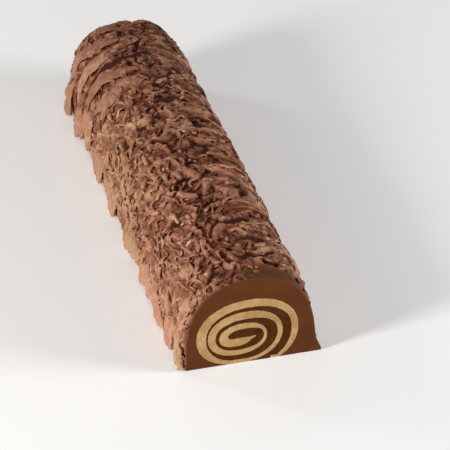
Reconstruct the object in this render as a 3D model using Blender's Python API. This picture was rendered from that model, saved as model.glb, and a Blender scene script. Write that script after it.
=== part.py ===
"""Yule log cake: a rolled sponge with chocolate filling, a buttercream coat and a bark of shavings.

The log lies along +Y on its flat base.  Both ends are cut square, so every layer runs
from one cut face to the other: the sponge spiral, the filling between its turns, the
coat that wraps the roll down to the table, and the uneven bark over the coat.
"""
import math

import bpy
import numpy as np

# ---- driving sizes, in metres ----
LOG_LENGTH = 0.320
NEAR_CUT = -0.5 * LOG_LENGTH
FAR_CUT = 0.5 * LOG_LENGTH
LAYER_GAP = 0.0003
SHARPEST_MITRE = 1.6
SHARP_EDGE_ANGLE = math.radians(40.0)
SEED = 24

# The rolled strip, seen on the cut face: it starts at the tail, low on the right,
# and runs in counter-clockwise for three turns to a thin tip at the heart of the roll.
# A turn count of 0 is the right side.
TAIL_TURN = -0.17
LAST_TURN = 2.93
STRIP_STEPS = 102
TIP_X = 0.0040
TIP_Z = 0.0169
TIP_THICKNESS = 0.0009
TIP_PASSING = 0.09
HEART_TURN = 2.46
HEART_STEPS = 15
ROLL_CENTRE_X = -0.0027
ROLL_CENTRE_X_DRIFT = -0.0013
ROLL_CENTRE_Z = 0.0201
ROLL_CENTRE_Z_DRIFT = -0.0009
ROLL_HALF_WIDTH = 0.0322
ROLL_HALF_WIDTH_DRIFT = -0.0081
ROLL_HALF_HEIGHT = 0.0252
ROLL_HALF_HEIGHT_DRIFT = -0.0071
ROLL_SQUARENESS = 2.16
ROLL_LEAN = 0.0015
ROLL_LEAN_ENDS = 3.5
SPINE_LEFT = -0.0090
SPINE_RIGHT = 0.0040
SPINE_HEIGHT = 0.0205
# Strip thickness at every quarter turn, from a quarter turn before 0 to 3 turns.
SPONGE_THICKNESS = (
    0.0010,
    0.0040, 0.0054, 0.0058, 0.0023,
    0.0030, 0.0052, 0.0046, 0.0034,
    0.0020, 0.0039, 0.0056, 0.0054,
    0.0012,
)

# The coat: an arch over the roll that spreads a little where it meets the table.
COAT_CENTRE_X = 0.0007
COAT_HALF_WIDTH = 0.0383
COAT_SHOULDER_HEIGHT = 0.0080
COAT_RISE = 0.0485
COAT_SQUARENESS = 2.45
COAT_FOOT_HEIGHT = 0.015
COAT_FOOT_LEFT = 0.0003
COAT_FOOT_RIGHT = 0.0045
ARCH_STEPS = 400

# The bark: shavings laid across the log over the coat.
BARK_ROWS = 120
BARK_THICKNESS_LEFT = 0.0020
BARK_THICKNESS_RIGHT = 0.0007
BARK_TOP_EXTRA = 0.0010
BARK_TOP_NARROWNESS = 4
BARK_THINNEST = 0.0010
SWELL_HEIGHT = 0.0010
SWELL_LENGTH = 0.230
SWELL_CREST = -0.050
STEP_PLACE = -0.112
STEP_DEPTH = 0.0018
# Places around the arch are shares of its length, 0 at the left foot and 1 at the right.
STEP_TOP_SHARE = 0.16
SCATTER_LENGTH = 1.04 * LOG_LENGTH
RIBBON_COUNT = 150
RIBBON_LEFT_SHARE = (0.04, 0.36)
RIBBON_RIGHT_SHARE = (0.62, 0.96)
RIBBON_HEIGHT = (0.0010, 0.0026)
RIBBON_HALF_WIDTH = (0.0028, 0.0052)
RIBBON_HALF_LENGTH = (0.012, 0.024)
RIBBON_TURN = 0.22
CHIP_COUNT = 170
CHIP_SHARE = (0.28, 0.72)
CHIP_HEIGHT = (0.0010, 0.0024)
CHIP_HALF_WIDTH = (0.0026, 0.0040)
CHIP_HALF_LENGTH = (0.0040, 0.0085)
SHAVING_TILT = 0.30
RIGHT_RELIEF = 0.7
RIGHT_RELIEF_SHARE = (0.45, 0.70)
BARE_EDGE_DEPTH = 0.007
BARE_EDGE_FADE = 0.012
BARE_EDGE_SHARE = (0.42, 0.52)
FAR_ROUNDING = 0.020
FAR_ROUNDING_COAT = 0.0026
FAR_ROUNDING_BARK = 0.0012
FAR_ROUNDING_FOOT = 0.3
ROUND_STEPS = 4

SPONGE_COLOUR = (0.58, 0.37, 0.16, 1.0)
FILLING_COLOUR = (0.060, 0.028, 0.013, 1.0)
COAT_COLOUR = (0.135, 0.047, 0.020, 1.0)
BARK_COLOUR = (0.300, 0.140, 0.080, 1.0)

for leftover in list(bpy.data.objects):
    bpy.data.objects.remove(leftover, do_unlink=True)


def material(name, colour, roughness):
    """A plain Principled material."""
    made = bpy.data.materials.new(name)
    made.use_nodes = True
    shader = made.node_tree.nodes["Principled BSDF"]
    shader.inputs["Base Color"].default_value = colour
    shader.inputs["Roughness"].default_value = roughness
    return made


def add_object(name, points, faces, surface):
    """Make a named object from points and faces, with its faces turned outward."""
    mesh = bpy.data.meshes.new(name)
    mesh.from_pydata([tuple(point) for point in points], [], faces)
    mesh.validate()
    volume = 0.0
    mesh.calc_loop_triangles()
    for triangle in mesh.loop_triangles:
        a, b, c = (mesh.vertices[index].co for index in triangle.vertices)
        volume += a.dot(b.cross(c))
    if volume < 0.0:
        mesh.flip_normals()
    mesh.materials.append(surface)
    made = bpy.data.objects.new(name, mesh)
    bpy.context.scene.collection.objects.link(made)
    return made


def squared(value, squareness):
    """Superellipse term: the value's sign with its size raised to 2 / squareness."""
    return math.copysign(abs(value) ** (2.0 / squareness), value)


# ---- the rolled strip on the cut face ----
def strip_outer(turn):
    """Outer edge of the sponge strip at a turn count, flattened where the roll rests on the table."""
    angle = 2.0 * math.pi * turn
    half_width = ROLL_HALF_WIDTH + ROLL_HALF_WIDTH_DRIFT * turn
    half_height = ROLL_HALF_HEIGHT + ROLL_HALF_HEIGHT_DRIFT * turn
    lean = ROLL_LEAN * (1.0 - turn / ROLL_LEAN_ENDS) * math.sin(angle)
    centre_x = ROLL_CENTRE_X + ROLL_CENTRE_X_DRIFT * turn + lean
    centre_z = ROLL_CENTRE_Z + ROLL_CENTRE_Z_DRIFT * turn
    x = centre_x + half_width * squared(math.cos(angle), ROLL_SQUARENESS)
    z = centre_z + half_height * squared(math.sin(angle), ROLL_SQUARENESS)
    return x, max(z, 0.0)


def strip_thickness(turn):
    """Strip thickness at a turn count, eased between the quarter-turn sizes."""
    place = min(max(4.0 * turn + 1.0, 0.0), len(SPONGE_THICKNESS) - 1.0)
    low = min(int(place), len(SPONGE_THICKNESS) - 2)
    ease = 0.5 - 0.5 * math.cos(math.pi * (place - low))
    return SPONGE_THICKNESS[low] * (1.0 - ease) + SPONGE_THICKNESS[low + 1] * ease


def strip_inner(turn):
    """Inner edge of the strip: the outer edge moved toward the flat spine of the roll."""
    x, z = strip_outer(turn)
    toward_x = min(max(x, SPINE_LEFT), SPINE_RIGHT) - x
    toward_z = SPINE_HEIGHT - z
    distance = math.hypot(toward_x, toward_z)
    step = strip_thickness(turn) / distance
    return x + toward_x * step, z + toward_z * step


def offset_outline(outline, gap):
    """Move a closed counter-clockwise outline outward by a gap."""
    moved = []
    count = len(outline)
    for index in range(count):
        before = outline[index - 1]
        here = outline[index]
        after = outline[(index + 1) % count]
        in_x, in_z = here[0] - before[0], here[1] - before[1]
        out_x, out_z = after[0] - here[0], after[1] - here[1]
        in_length = math.hypot(in_x, in_z)
        out_length = math.hypot(out_x, out_z)
        normal_x = in_z / in_length + out_z / out_length
        normal_z = -in_x / in_length - out_x / out_length
        size = math.hypot(normal_x, normal_z)
        mitre = min(2.0 / size, SHARPEST_MITRE)
        x = here[0] + normal_x / size * gap * mitre
        z = here[1] + normal_z / size * gap * mitre
        moved.append((x, z))
    return moved


def add_band(name, rows, surface):
    """Make a solid from the band between two matching edges, given for each row along the log.

    A row is (y, edge_a, edge_b).  Where both edges share a point the band closes to a wedge.
    """
    points = []
    rings = []
    for y, edge_a, edge_b in rows:
        index_a = []
        index_b = []
        for first, second in zip(edge_a, edge_b):
            index_a.append(len(points))
            points.append((first[0], y, first[1]))
            if first == second:
                index_b.append(index_a[-1])
            else:
                index_b.append(len(points))
                points.append((second[0], y, second[1]))
        rings.append((index_a, index_b))
    faces = []
    for index_a, index_b in (rings[0], rings[-1]):
        for step in range(len(index_a) - 1):
            corners = [index_a[step], index_a[step + 1], index_b[step + 1], index_b[step]]
            corners = list(dict.fromkeys(corners))
            faces.append(corners if index_a is rings[0][0] else corners[::-1])
    outlines = []
    for index_a, index_b in rings:
        outlines.append(index_a + [index for index in reversed(index_b) if index not in index_a])
    for near, far in zip(outlines, outlines[1:]):
        for step in range(len(near)):
            faces.append([near[step], near[step - 1], far[step - 1], far[step]])
    return add_object(name, points, faces, surface)


turns = [TAIL_TURN + (LAST_TURN - TAIL_TURN) * step / STRIP_STEPS for step in range(STRIP_STEPS + 1)]
outer_edge = [strip_outer(turn) for turn in turns] + [(TIP_X, TIP_Z)]
inner_edge = [strip_inner(turn) for turn in turns] + [(TIP_X, TIP_Z + TIP_THICKNESS)]
sponge_rows = [(y, outer_edge, inner_edge) for y in (NEAR_CUT, FAR_CUT)]
sponge = add_band("sponge", sponge_rows, material("sponge", SPONGE_COLOUR, 0.85))

# ---- the filling between the turns, and the pocket of filling at the heart ----
strip_outline = outer_edge + list(reversed(inner_edge))
moved_outline = offset_outline(strip_outline, LAYER_GAP)
cleared_outer = moved_outline[:len(outer_edge)]
cleared_inner = list(reversed(moved_outline[len(outer_edge):]))


def along(edge, turn):
    """Point of an edge at a turn count, between its stepped points."""
    place = (turn - TAIL_TURN) / (LAST_TURN - TAIL_TURN) * STRIP_STEPS
    low = min(max(int(place), 0), STRIP_STEPS - 1)
    part = place - low
    first, second = edge[low], edge[low + 1]
    return first[0] + (second[0] - first[0]) * part, first[1] + (second[1] - first[1]) * part


# It lies between the inside of one turn and the outside of the next, passes the tip, and
# then fills the pocket between the two sides of the innermost turn.
tip_turn = LAST_TURN - 1.0
filling_outer = []
filling_inner = []
for turn in turns:
    if turn <= tip_turn:
        filling_outer.append(along(cleared_inner, turn))
        filling_inner.append(along(cleared_outer, turn + 1.0))
for passed, corner in ((0.35, cleared_outer[-1]), (0.80, cleared_inner[-1])):
    filling_outer.append(along(cleared_inner, tip_turn + passed * TIP_PASSING))
    filling_inner.append(corner)
for step in range(1, HEART_STEPS + 1):
    part = step / HEART_STEPS
    from_tip = tip_turn + TIP_PASSING
    filling_outer.append(along(cleared_inner, from_tip + (HEART_TURN - from_tip) * part))
    filling_inner.append(along(cleared_inner, LAST_TURN + (HEART_TURN - LAST_TURN) * part))
filling_inner[-1] = filling_outer[-1]
filling_rows = [(y, filling_outer, filling_inner) for y in (NEAR_CUT, FAR_CUT)]
filling = add_band("filling", filling_rows, material("filling", FILLING_COLOUR, 0.6))


# ---- the coat ----
def lengths_along(line):
    """Length along a line at each of its points."""
    lengths = [0.0]
    for here, after in zip(line, line[1:]):
        lengths.append(lengths[-1] + math.hypot(after[0] - here[0], after[1] - here[1]))
    return np.array(lengths)


def points_at(line, shares):
    """Points of a line at shares of its length."""
    lengths = lengths_along(line)
    wanted = np.asarray(shares) * lengths[-1]
    xs = np.interp(wanted, lengths, [point[0] for point in line])
    zs = np.interp(wanted, lengths, [point[1] for point in line])
    return list(zip(xs.tolist(), zs.tolist()))


def coat_arch():
    """Outer line of the coat from its left foot over the top to its right foot."""
    arch = [(-COAT_HALF_WIDTH, 0.0)]
    for step in range(ARCH_STEPS + 1):
        angle = math.pi * (1.0 - step / ARCH_STEPS)
        x = COAT_HALF_WIDTH * squared(math.cos(angle), COAT_SQUARENESS)
        z = COAT_SHOULDER_HEIGHT + COAT_RISE * squared(math.sin(angle), COAT_SQUARENESS)
        arch.append((x, z))
    arch.append((COAT_HALF_WIDTH, 0.0))
    spread_arch = []
    for x, z in points_at(arch, np.linspace(0.0, 1.0, ARCH_STEPS)):
        spread = max(1.0 - z / COAT_FOOT_HEIGHT, 0.0) ** 2
        x += spread * (COAT_FOOT_RIGHT if x > 0.0 else -COAT_FOOT_LEFT)
        spread_arch.append((COAT_CENTRE_X + x, z))
    return spread_arch


def above_table(points):
    """The stretch of a line that rises above the table, with an end point on the table at each side."""
    first = next(index for index, point in enumerate(points) if point[1] > 0.0)
    last = next(index for index, point in enumerate(points) if index > first and point[1] <= 0.0)
    ends = []
    for low, high in ((first - 1, first), (last, last - 1)):
        part = -points[low][1] / (points[high][1] - points[low][1])
        ends.append((points[low][0] + (points[high][0] - points[low][0]) * part, 0.0))
    return [ends[0]] + points[first:last] + [ends[1]]


# The inside of the coat follows the outer turn from the tail over the top to the table on the left.
coat_inside = above_table(cleared_outer)
coat_inside.reverse()
columns = len(coat_inside)
inside_lengths = lengths_along(coat_inside)
coat_outside = np.array(points_at(coat_arch(), inside_lengths / inside_lengths[-1]))
tangent = np.gradient(coat_outside, axis=0)
tangent /= np.linalg.norm(tangent, axis=1)[:, None]
normal = np.column_stack((-tangent[:, 1], tangent[:, 0]))
normal[0] = (-1.0, 0.0)
normal[-1] = (1.0, 0.0)
around = lengths_along(coat_outside.tolist())[None, :]
arch_length = float(around[0, -1])
share = around / arch_length


def far_inset(y):
    """How far the coat is rounded in near the far cut: most at the top, little at the feet."""
    part = min(max((y - FAR_CUT + FAR_ROUNDING) / FAR_ROUNDING, 0.0), 1.0)
    height = np.sin(math.pi * share).T
    fall = FAR_ROUNDING_FOOT + (1.0 - FAR_ROUNDING_FOOT) * height
    return FAR_ROUNDING_COAT * (1.0 - math.sqrt(1.0 - part * part)) * fall


def arch_row(y, clearance):
    """The coat's outer line at a place along the log, moved out by a clearance."""
    return (coat_outside + normal * (clearance - far_inset(y))).tolist()


coat_places = [NEAR_CUT]
for step in range(ROUND_STEPS + 1):
    coat_places.append(FAR_CUT - FAR_ROUNDING * math.cos(0.5 * math.pi * step / ROUND_STEPS))
coat_places[-1] = FAR_CUT
coat_rows = [(y, arch_row(y, 0.0), coat_inside) for y in coat_places]
coat = add_band("coat", coat_rows, material("coat", COAT_COLOUR, 0.55))

# ---- the bark ----
rng = np.random.default_rng(SEED)
lengthwise = np.linspace(NEAR_CUT, FAR_CUT, BARK_ROWS + 1)[:, None]
base = BARK_THICKNESS_LEFT * (1.0 - share) + BARK_THICKNESS_RIGHT * share
base = base + BARK_TOP_EXTRA * np.sin(math.pi * share) ** BARK_TOP_NARROWNESS


def ramp(values, limits):
    """0 below the first limit, 1 above the second, and even between them."""
    return np.clip((values - limits[0]) / (limits[1] - limits[0]), 0.0, 1.0)


def shaving(middle_y, middle_share, half_length, half_width, turned, height):
    """Height of one shaving: a rounded rib along its length, higher along its near edge."""
    dy = lengthwise - middle_y
    ds = around - middle_share * arch_length
    across = (dy * math.cos(turned) - ds * math.sin(turned)) / half_width
    length = (dy * math.sin(turned) + ds * math.cos(turned)) / half_length
    bulge = np.sqrt(np.clip(1.0 - across * across, 0.0, 1.0))
    end = np.clip(1.25 - np.abs(length) ** 3, 0.0, 1.0)
    return height * bulge * end * (1.0 - SHAVING_TILT * across)


relief = np.zeros((BARK_ROWS + 1, columns))
for index in range(RIBBON_COUNT):
    ribbon = shaving(
        rng.uniform(-0.5, 0.5) * SCATTER_LENGTH,
        rng.uniform(*(RIBBON_RIGHT_SHARE if index % 2 else RIBBON_LEFT_SHARE)),
        rng.uniform(*RIBBON_HALF_LENGTH),
        rng.uniform(*RIBBON_HALF_WIDTH),
        rng.normal(0.0, RIBBON_TURN),
        rng.uniform(*RIBBON_HEIGHT),
    )
    relief = np.maximum(relief, ribbon)
for index in range(CHIP_COUNT):
    chip = shaving(
        rng.uniform(-0.5, 0.5) * SCATTER_LENGTH,
        rng.uniform(*CHIP_SHARE),
        rng.uniform(*CHIP_HALF_LENGTH),
        rng.uniform(*CHIP_HALF_WIDTH),
        rng.uniform(0.0, math.pi),
        rng.uniform(*CHIP_HEIGHT),
    )
    relief = np.maximum(relief, chip)
relief *= 1.0 - (1.0 - RIGHT_RELIEF) * ramp(share, RIGHT_RELIEF_SHARE)
swell = SWELL_HEIGHT * np.cos(2.0 * math.pi * (lengthwise - SWELL_CREST) / SWELL_LENGTH)
thickness = base + swell * (1.0 - share) + relief
# The lowest shavings on the left stop short of the near cut and leave a step.
stepped = (lengthwise < STEP_PLACE) * (1.0 - ramp(share, (0.0, STEP_TOP_SHARE)))
thickness = thickness - STEP_DEPTH * np.sqrt(stepped)
# On the upper right they stop short of the near cut too, and the coat shows through.
bare_places = (NEAR_CUT + BARE_EDGE_DEPTH, NEAR_CUT + BARE_EDGE_DEPTH + BARE_EDGE_FADE)
bare = (1.0 - ramp(lengthwise, bare_places)) * ramp(share, BARE_EDGE_SHARE)
thickness = thickness * (1.0 - bare) + BARK_THINNEST * bare
# The far end is rounded over toward the cut.
to_far = ramp(lengthwise, (FAR_CUT - FAR_ROUNDING, FAR_CUT))
thickness = thickness - FAR_ROUNDING_BARK * (1.0 - np.sqrt(1.0 - to_far * to_far))
thickness = np.maximum(thickness, BARK_THINNEST)

rows = BARK_ROWS + 1
bark_points = []
for row in range(rows):
    y = float(lengthwise[row, 0])
    outside = coat_outside + normal * (LAYER_GAP + thickness[row][:, None] - far_inset(y))
    bark_points += [(x, y, max(z, 0.0)) for x, z in outside.tolist()]
inner_start = len(bark_points)
for y in coat_places:
    bark_points += [(x, y, z) for x, z in arch_row(y, LAYER_GAP)]


def grid_faces(start, row_count):
    """Faces of a grid of points stored row by row."""
    made = []
    for row in range(row_count - 1):
        for column in range(columns - 1):
            corner = start + row * columns + column
            made.append([corner, corner + 1, corner + columns + 1, corner + columns])
    return made


bark_faces = grid_faces(0, rows)
bark_faces += [face[::-1] for face in grid_faces(inner_start, len(coat_places))]
last_outer = (rows - 1) * columns
last_inner = inner_start + (len(coat_places) - 1) * columns
for column in range(columns - 1):
    near_outer, near_inner = column, inner_start + column
    bark_faces.append([near_inner, near_inner + 1, near_outer + 1, near_outer])
    far_outer, far_inner = last_outer + column, last_inner + column
    bark_faces.append([far_outer, far_outer + 1, far_inner + 1, far_inner])
# Each foot is one flat face between the straight inner corner line and the uneven outer edge.
for column in (0, columns - 1):
    outer_line = [row * columns + column for row in range(rows)]
    inner_line = [inner_start + row * columns + column for row in range(len(coat_places))]
    foot_face = outer_line + inner_line[::-1]
    bark_faces.append(foot_face if column == 0 else foot_face[::-1])
bark = add_object("bark", bark_points, bark_faces, material("bark", BARK_COLOUR, 0.5))

# ---- centre the whole over the origin and shade it ----
pieces = (sponge, filling, coat, bark)
xs = [vertex.co.x for piece in pieces for vertex in piece.data.vertices]
shift_x = -0.5 * (min(xs) + max(xs))
for piece in pieces:
    for vertex in piece.data.vertices:
        vertex.co.x += shift_x
    piece.data.shade_smooth()
    piece.data.set_sharp_from_angle(angle=SHARP_EDGE_ANGLE)
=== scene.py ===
import math

import bpy
import numpy as np
from mathutils import Euler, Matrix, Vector, noise
from mathutils.bvhtree import BVHTree


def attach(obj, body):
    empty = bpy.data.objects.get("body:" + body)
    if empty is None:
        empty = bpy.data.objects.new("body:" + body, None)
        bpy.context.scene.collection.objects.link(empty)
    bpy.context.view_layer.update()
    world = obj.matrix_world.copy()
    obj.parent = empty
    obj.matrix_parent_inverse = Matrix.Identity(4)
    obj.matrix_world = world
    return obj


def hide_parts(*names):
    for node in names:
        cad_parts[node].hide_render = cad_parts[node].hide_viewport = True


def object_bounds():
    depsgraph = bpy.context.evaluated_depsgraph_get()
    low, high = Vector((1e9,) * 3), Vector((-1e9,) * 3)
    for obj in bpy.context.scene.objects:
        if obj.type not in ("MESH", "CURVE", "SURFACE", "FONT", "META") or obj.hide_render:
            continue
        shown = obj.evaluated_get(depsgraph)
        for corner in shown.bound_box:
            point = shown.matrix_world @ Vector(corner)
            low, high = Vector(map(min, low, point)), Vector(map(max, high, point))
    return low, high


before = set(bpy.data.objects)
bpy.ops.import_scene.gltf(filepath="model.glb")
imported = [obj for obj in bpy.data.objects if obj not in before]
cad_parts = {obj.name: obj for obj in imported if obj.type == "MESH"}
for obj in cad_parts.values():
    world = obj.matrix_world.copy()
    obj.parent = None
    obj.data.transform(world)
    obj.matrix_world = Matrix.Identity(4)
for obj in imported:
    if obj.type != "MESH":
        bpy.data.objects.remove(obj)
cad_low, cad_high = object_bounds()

NEAR_CUT = cad_low.y
FAR_CUT = cad_high.y

# -------------- rolled sponge
# A thin baked sponge sheet, spread with filling and rolled up while soft. Both ends were
# sliced with a knife, so its open crumb shows as a spiral band, pitted with small air holes.
ROLL_MIDDLE = 0.026
CUT_REACH = 0.0005
SEAM_WIDTH = 0.000005
SPONGE_CUTS = 9
CRUMB_PIT_DEPTH = 0.00045
CRUMB_PIT_SIZE = 0.0011
CRUMB_SWELL_DEPTH = 0.0003
CRUMB_SWELL_SIZE = 0.0034
BAKED_TONES = ((0.38, 0.205, 0.069, 1), (0.7, 0.445, 0.2, 1))
GRAIN_TONES = ((0.38, 0.208, 0.076, 1), (0.68, 0.448, 0.22, 1))
# Painted shade: the colour the crumb takes down inside its air holes.
AIR_HOLE_SHADE = (0.4, 0.205, 0.075, 1)


def work_on(piece, mode="OBJECT"):
    """Make one piece the only selected one, and go to a mode on it."""
    if bpy.context.object is not None and bpy.context.object.mode != "OBJECT":
        bpy.ops.object.mode_set(mode="OBJECT")
    bpy.ops.object.select_all(action="DESELECT")
    bpy.context.view_layer.objects.active = piece
    piece.select_set(True)
    bpy.ops.object.mode_set(mode=mode)


def is_on_cut(face):
    """Whether a face lies on one of the two sliced ends."""
    at_end = min(abs(face.center.y - NEAR_CUT), abs(face.center.y - FAR_CUT)) < CUT_REACH
    return at_end and abs(face.normal.y) > 0.98


def faces_middle(point):
    """Whether a point lies on a wall that looks toward the middle of the log."""
    return point.normal.x * point.co.x + point.normal.z * (point.co.z - ROLL_MIDDLE) < 0.0


def sliced_layer(node, name, cuts, swell=0.0, only_inside=False):
    """A layer of the cake, swelled to touch its neighbours, with its two sliced ends cut fine."""
    piece = bpy.data.objects.new(name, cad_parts[node].data.copy())
    bpy.context.scene.collection.objects.link(piece)
    work_on(piece, "EDIT")
    bpy.ops.mesh.select_mode(type="VERT")
    bpy.ops.mesh.select_all(action="SELECT")
    bpy.ops.mesh.remove_doubles(threshold=SEAM_WIDTH)
    bpy.ops.mesh.tris_convert_to_quads()
    bpy.ops.mesh.select_all(action="DESELECT")
    work_on(piece)
    swells = [not only_inside or faces_middle(point) for point in piece.data.vertices]
    piece.data.vertices.foreach_set("select", swells)
    work_on(piece, "EDIT")
    bpy.ops.transform.shrink_fatten(value=swell)
    bpy.ops.mesh.select_all(action="DESELECT")
    work_on(piece)
    for point in piece.data.vertices:
        for cut in (NEAR_CUT, FAR_CUT):
            if abs(point.co.y - cut) < CUT_REACH:
                point.co.y = cut
        point.co.z = max(point.co.z, 0.0)
    piece.data.update()
    piece.data.polygons.foreach_set("select", [is_on_cut(face) for face in piece.data.polygons])
    work_on(piece, "EDIT")
    bpy.ops.mesh.select_mode(type="FACE")
    bpy.ops.mesh.subdivide(number_cuts=cuts)
    bpy.ops.object.vertex_group_add()
    bpy.ops.object.vertex_group_assign()
    bpy.ops.mesh.select_all(action="DESELECT")
    work_on(piece)
    piece.vertex_groups[0].name = "cut"
    return piece


def roughen(piece, texture, depth, middle):
    """Push the sliced ends of a piece in and out by a texture, without moving them sideways."""
    work_on(piece)
    sideways = [(point.co.x, point.co.z) for point in piece.data.vertices]
    bpy.ops.object.modifier_add(type="DISPLACE")
    push = piece.modifiers[-1]
    push.texture = texture
    push.texture_coords = "LOCAL"
    push.direction = "NORMAL"
    push.strength = depth
    push.mid_level = middle
    push.vertex_group = "cut"
    bpy.ops.object.modifier_apply(modifier=push.name)
    for point, (x, z) in zip(piece.data.vertices, sideways):
        point.co.x = x
        point.co.z = z


def pit_texture(name, size, reach):
    """Round pits: 0 at the bottom of a pit and 1 on the skin between pits."""
    made = bpy.data.textures.new(name, "VORONOI")
    made.noise_scale = size
    made.use_color_ramp = True
    made.color_ramp.elements[0].position = 0.0
    made.color_ramp.elements[0].color = (0.0, 0.0, 0.0, 1.0)
    made.color_ramp.elements[1].position = reach
    made.color_ramp.elements[1].color = (1.0, 1.0, 1.0, 1.0)
    return made


def swell_texture(name, size):
    """Soft swells of a size, with a few finer ones on them."""
    made = bpy.data.textures.new(name, "CLOUDS")
    made.noise_scale = size
    made.noise_depth = 2
    return made


def fill_in(tree, node, values):
    """Give each named input of a shader node its value, or the output that drives it."""
    for name, value in values.items():
        if isinstance(value, bpy.types.NodeSocket):
            tree.links.new(value, node.inputs[name])
        else:
            node.inputs[name].default_value = value


def add_node(tree, kind, values, **settings):
    """Add a shader node with its settings and its inputs."""
    made = tree.nodes.new("ShaderNode" + kind)
    for setting, value in settings.items():
        setattr(made, setting, value)
    fill_in(tree, made, values)
    return made


def blend_colours(tree, factor, first, second):
    """Mix two colours by a factor, each an output or a value."""
    return add_node(tree, "Mix", {"Factor": factor, 6: first, 7: second}, data_type="RGBA").outputs[2]


def clouded_tone():
    """Shared effect: a colour between two tones, clouded at a given size."""
    group = bpy.data.node_groups.new("clouded tone", "ShaderNodeTree")
    add_socket = group.interface.new_socket
    for name in ("Dark", "Light"):
        add_socket(name, in_out="INPUT", socket_type="NodeSocketColor")
    for name in ("Scale", "Contrast"):
        add_socket(name, in_out="INPUT", socket_type="NodeSocketFloat")
    add_socket("Colour", in_out="OUTPUT", socket_type="NodeSocketColor")
    add_socket("Cloud", in_out="OUTPUT", socket_type="NodeSocketFloat")
    entry = group.nodes.new("NodeGroupInput").outputs
    leave = group.nodes.new("NodeGroupOutput")
    place = add_node(group, "TexCoord", {})
    cloud = add_node(group, "TexNoise", {
        "Vector": place.outputs["Object"], "Scale": entry["Scale"], "Detail": 5.0, "Roughness": 0.6})
    centred = add_node(group, "Math", {0: cloud.outputs["Fac"], 1: 0.5}, operation="SUBTRACT")
    spread = add_node(
        group, "Math", {0: centred.outputs[0], 1: entry["Contrast"], 2: 0.5},
        operation="MULTIPLY_ADD", use_clamp=True)
    colour = blend_colours(group, spread.outputs[0], entry["Dark"], entry["Light"])
    fill_in(group, leave, {"Colour": colour, "Cloud": spread.outputs[0]})
    return group


CLOUDED_TONE = clouded_tone()


def clouded(tree, tones, scale, contrast):
    """A colour clouded between two tones, with its own size and contrast."""
    values = {"Dark": tones[0], "Light": tones[1], "Scale": scale, "Contrast": contrast}
    return add_node(tree, "Group", values, node_tree=CLOUDED_TONE)


def remapped(tree, value, low, high, first=0.0, last=1.0):
    """A value spread from low..high to first..last."""
    values = {"Value": value, "From Min": low, "From Max": high, "To Min": first, "To Max": last}
    return add_node(tree, "MapRange", values).outputs[0]


def bumped(tree, shader, height, strength, distance):
    """Give a material small bumps from a height."""
    bump = add_node(tree, "Bump", {"Height": height, "Strength": strength, "Distance": distance})
    fill_in(tree, shader, {"Normal": bump.outputs["Normal"]})


def plain_surface(name, roughness, shine):
    """A new material, with its node tree and its Principled shader."""
    made = bpy.data.materials.new(name)
    made.use_nodes = True
    shader = made.node_tree.nodes["Principled BSDF"]
    fill_in(made.node_tree, shader, {"Roughness": roughness, "Specular IOR Level": shine})
    return made, made.node_tree, shader


def finish_layer(piece, material, node=None):
    """Dress a finished piece, hang it under the cake's root, and hide the solid it replaces, if one is
    named.
    """
    piece.data.materials.clear()
    piece.data.materials.append(material)
    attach(piece, "root")
    if node is not None:
        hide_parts(node)


def crumb_surface():
    """Baked sponge: golden crumb, paler and browner in patches, with painted shade darkening the
    inside of its air holes.
    """
    made, tree, shader = plain_surface("sponge crumb", 0.85, 0.25)
    patches = clouded(tree, BAKED_TONES, 110.0, 3.4).outputs["Colour"]
    grains = clouded(tree, GRAIN_TONES, 900.0, 2.0).outputs["Colour"]
    place = add_node(tree, "TexCoord", {})
    holes = add_node(tree, "TexVoronoi", {"Vector": place.outputs["Object"], "Scale": 1500.0})
    skin = remapped(tree, holes.outputs["Distance"], 0.1, 0.42)
    tone = blend_colours(tree, 0.4, patches, grains)
    # Painted shade: the crumb darkens toward the bottom of each air hole.
    fill_in(tree, shader, {"Base Color": blend_colours(tree, skin, AIR_HOLE_SHADE, tone)})
    bumped(tree, shader, skin, 0.6, 0.0004)
    return made


rolled_sponge = sliced_layer("sponge", "rolled_sponge", SPONGE_CUTS)
roughen(rolled_sponge, swell_texture("crumb swell", CRUMB_SWELL_SIZE), CRUMB_SWELL_DEPTH, 0.62)
roughen(rolled_sponge, pit_texture("crumb pits", CRUMB_PIT_SIZE, 0.3), CRUMB_PIT_DEPTH, 1.0)
finish_layer(rolled_sponge, crumb_surface(), "sponge")

# -------------- chocolate filling
# Dark chocolate cream, spread on the sheet before it was rolled. The knife smeared it a
# little at both ends, so it lies just below the crumb. It sags onto the table at the seam.
FILLING_CUTS = 5
FILLING_SWELL = 0.00045
FILLING_DIP = 0.0004
FILLING_SMEAR_SIZE = 0.003
SAG_HEIGHT = 0.0022
SAG_END = 0.0117
SAG_BEND = 0.009
SAG_SPREAD = 2.8
CREAM_TONES = ((0.044, 0.0125, 0.0012, 1), (0.096, 0.034, 0.003, 1))

cream_filling = sliced_layer("filling", "cream_filling", FILLING_CUTS, FILLING_SWELL)
for point in cream_filling.data.vertices:
    if point.co.z < SAG_HEIGHT and point.co.x < SAG_END:
        point.co.x -= SAG_SPREAD * max(0.0, SAG_BEND - point.co.x)
        point.co.z = 0.0
roughen(cream_filling, swell_texture("cream smear", FILLING_SMEAR_SIZE), FILLING_DIP, 0.75)


def cream_surface():
    """Dark cream: near black brown with an olive tinge, smooth and almost matt."""
    made, tree, shader = plain_surface("chocolate cream", 0.6, 0.07)
    tone = clouded(tree, CREAM_TONES, 220.0, 2.4)
    fill_in(tree, shader, {"Base Color": tone.outputs["Colour"]})
    bumped(tree, shader, tone.outputs["Cloud"], 0.35, 0.0005)
    return made


finish_layer(cream_filling, cream_surface(), "filling")

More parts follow.
